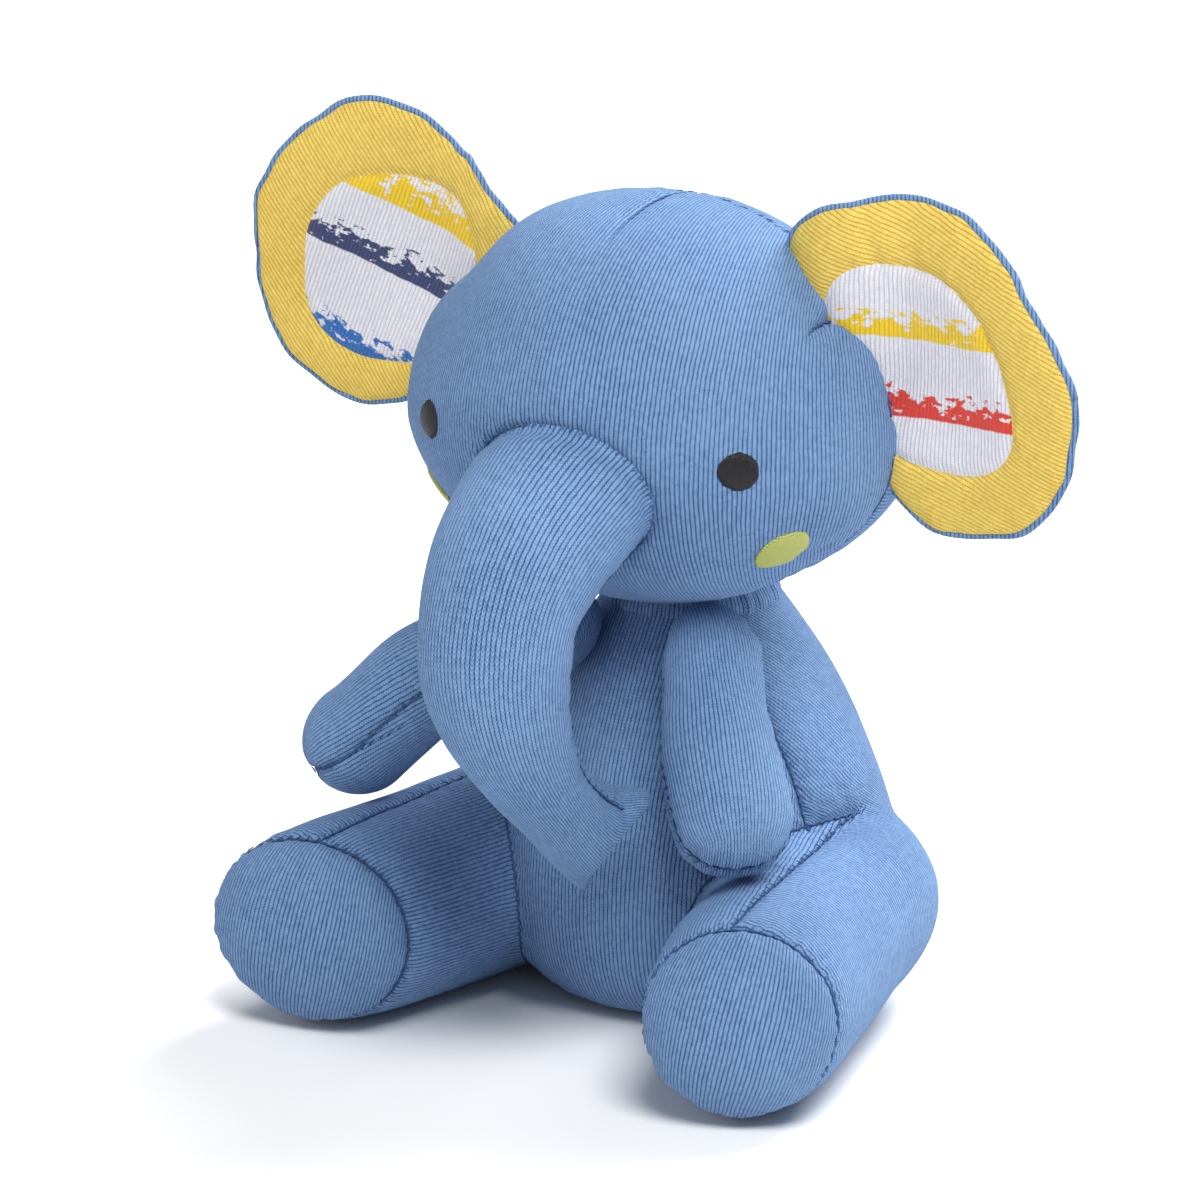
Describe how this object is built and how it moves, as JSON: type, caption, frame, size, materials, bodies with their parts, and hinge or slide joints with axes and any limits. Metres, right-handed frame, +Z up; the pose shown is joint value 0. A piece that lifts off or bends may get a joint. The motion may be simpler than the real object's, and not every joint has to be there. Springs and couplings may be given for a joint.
{
  "type": "stuffed elephant",
  "caption": "Seated stuffed elephant of knitted cotton over fibre filling, with a hanging trunk, printed ears and embroidered eyes.",
  "frame": {"origin": "middle of the flat of the seat, on the surface that the elephant sits on", "axes": "+Z up from the seat to the crown, the elephant faces -Y, its left side is +X"},
  "size_m": [0.1744, 0.1515, 0.1682],
  "materials": {
    "blue_knit": "fine cotton interlock knit, matt, slight fuzz",
    "yellow_knit": "fine cotton rib knit, matt",
    "print_knit": "white cotton knit with worn printed stripes",
    "black_thread": "black satin stitch, slight sheen",
    "green_thread": "yellow-green satin stitch, slight sheen",
    "fibre_filling": "loose white polyester fibre, inside"
  },
  "bodies": {
    "torso": {"belly_panel": "blue_knit", "back_panel_left": "blue_knit", "back_panel_right": "blue_knit", "seat_panel": "blue_knit", "body_stuffing": "fibre_filling", "inner_leg_left": "blue_knit", "inner_leg_right": "blue_knit", "outer_leg_left": "blue_knit", "outer_leg_right": "blue_knit", "sole_left": "blue_knit", "sole_right": "blue_knit", "leg_stuffing_left": "fibre_filling", "leg_stuffing_right": "fibre_filling"},
    "neck": {"neck_stuffing": "fibre_filling"},
    "head": {"face_panel": "blue_knit", "chin_panel": "blue_knit", "head_back_left": "blue_knit", "head_back_right": "blue_knit", "head_stuffing": "fibre_filling", "eye_left": "black_thread", "eye_right": "black_thread", "cheek_left": "green_thread", "cheek_right": "green_thread"},
    "trunk": {"trunk_top_panel": "blue_knit", "trunk_under_panel": "blue_knit", "trunk_stuffing": "fibre_filling"},
    "ear_left": {"ear_front_left": "yellow_knit", "ear_print_left": "print_knit", "ear_back_left": "blue_knit", "ear_wadding_left": "fibre_filling"},
    "ear_right": {"ear_front_right": "yellow_knit", "ear_print_right": "print_knit", "ear_back_right": "blue_knit", "ear_wadding_right": "fibre_filling"},
    "arm_left": {"arm_front_left": "blue_knit", "arm_back_left": "blue_knit", "arm_stuffing_left": "fibre_filling"},
    "arm_right": {"arm_front_right": "blue_knit", "arm_back_right": "blue_knit", "arm_stuffing_right": "fibre_filling"},
    "tail": {"tail_cover": "blue_knit", "tail_stuffing": "fibre_filling"}
  },
  "joints": [
    {"name": "head_turn", "type": "hinge", "parent": "torso", "child": "neck", "pos_m": [0, 0, 0.08], "axis": [0, 0, 1], "range_deg": [-18, 5], "stiffness_Nm_per_rad": 0.3},
    {"name": "head_nod", "type": "hinge", "parent": "neck", "child": "head", "pos_m": [0, 0, 0.089], "axis": [-1, 0, 0], "range_deg": [-2, 10], "stiffness_Nm_per_rad": 1.2},
    {"name": "trunk_lift", "type": "hinge", "parent": "head", "child": "trunk", "pos_m": [0, -0.049, 0.1102], "axis": [-1, 0, 0], "range_deg": [0, 30], "stiffness_Nm_per_rad": 0.12},
    {"name": "ear_left_flop", "type": "hinge", "parent": "head", "child": "ear_left", "pos_m": [0.0419, -0.0065, 0.1277], "axis": [0.282, -0.055, -0.9579], "range_deg": [-15, 15], "stiffness_Nm_per_rad": 0.03},
    {"name": "ear_right_flop", "type": "hinge", "parent": "head", "child": "ear_right", "pos_m": [-0.0419, -0.0065, 0.1317], "axis": [0.282, 0.055, 0.9579], "range_deg": [-15, 15], "stiffness_Nm_per_rad": 0.03},
    {"name": "arm_left_lift", "type": "hinge", "parent": "torso", "child": "arm_left", "pos_m": [0.01898, -0.02519, 0.07254], "axis": [0, -1, 0], "range_deg": [0, 60], "stiffness_Nm_per_rad": 0.03},
    {"name": "arm_right_lift", "type": "hinge", "parent": "torso", "child": "arm_right", "pos_m": [-0.01898, -0.02519, 0.07254], "axis": [0, 1, 0], "range_deg": [0, 40], "stiffness_Nm_per_rad": 0.03},
    {"name": "tail_wag", "type": "hinge", "parent": "torso", "child": "tail", "pos_m": [0, 0.0427, 0.0253], "axis": [1, 0, 0], "range_deg": [-10, 35], "stiffness_Nm_per_rad": 0.01}
  ]
}
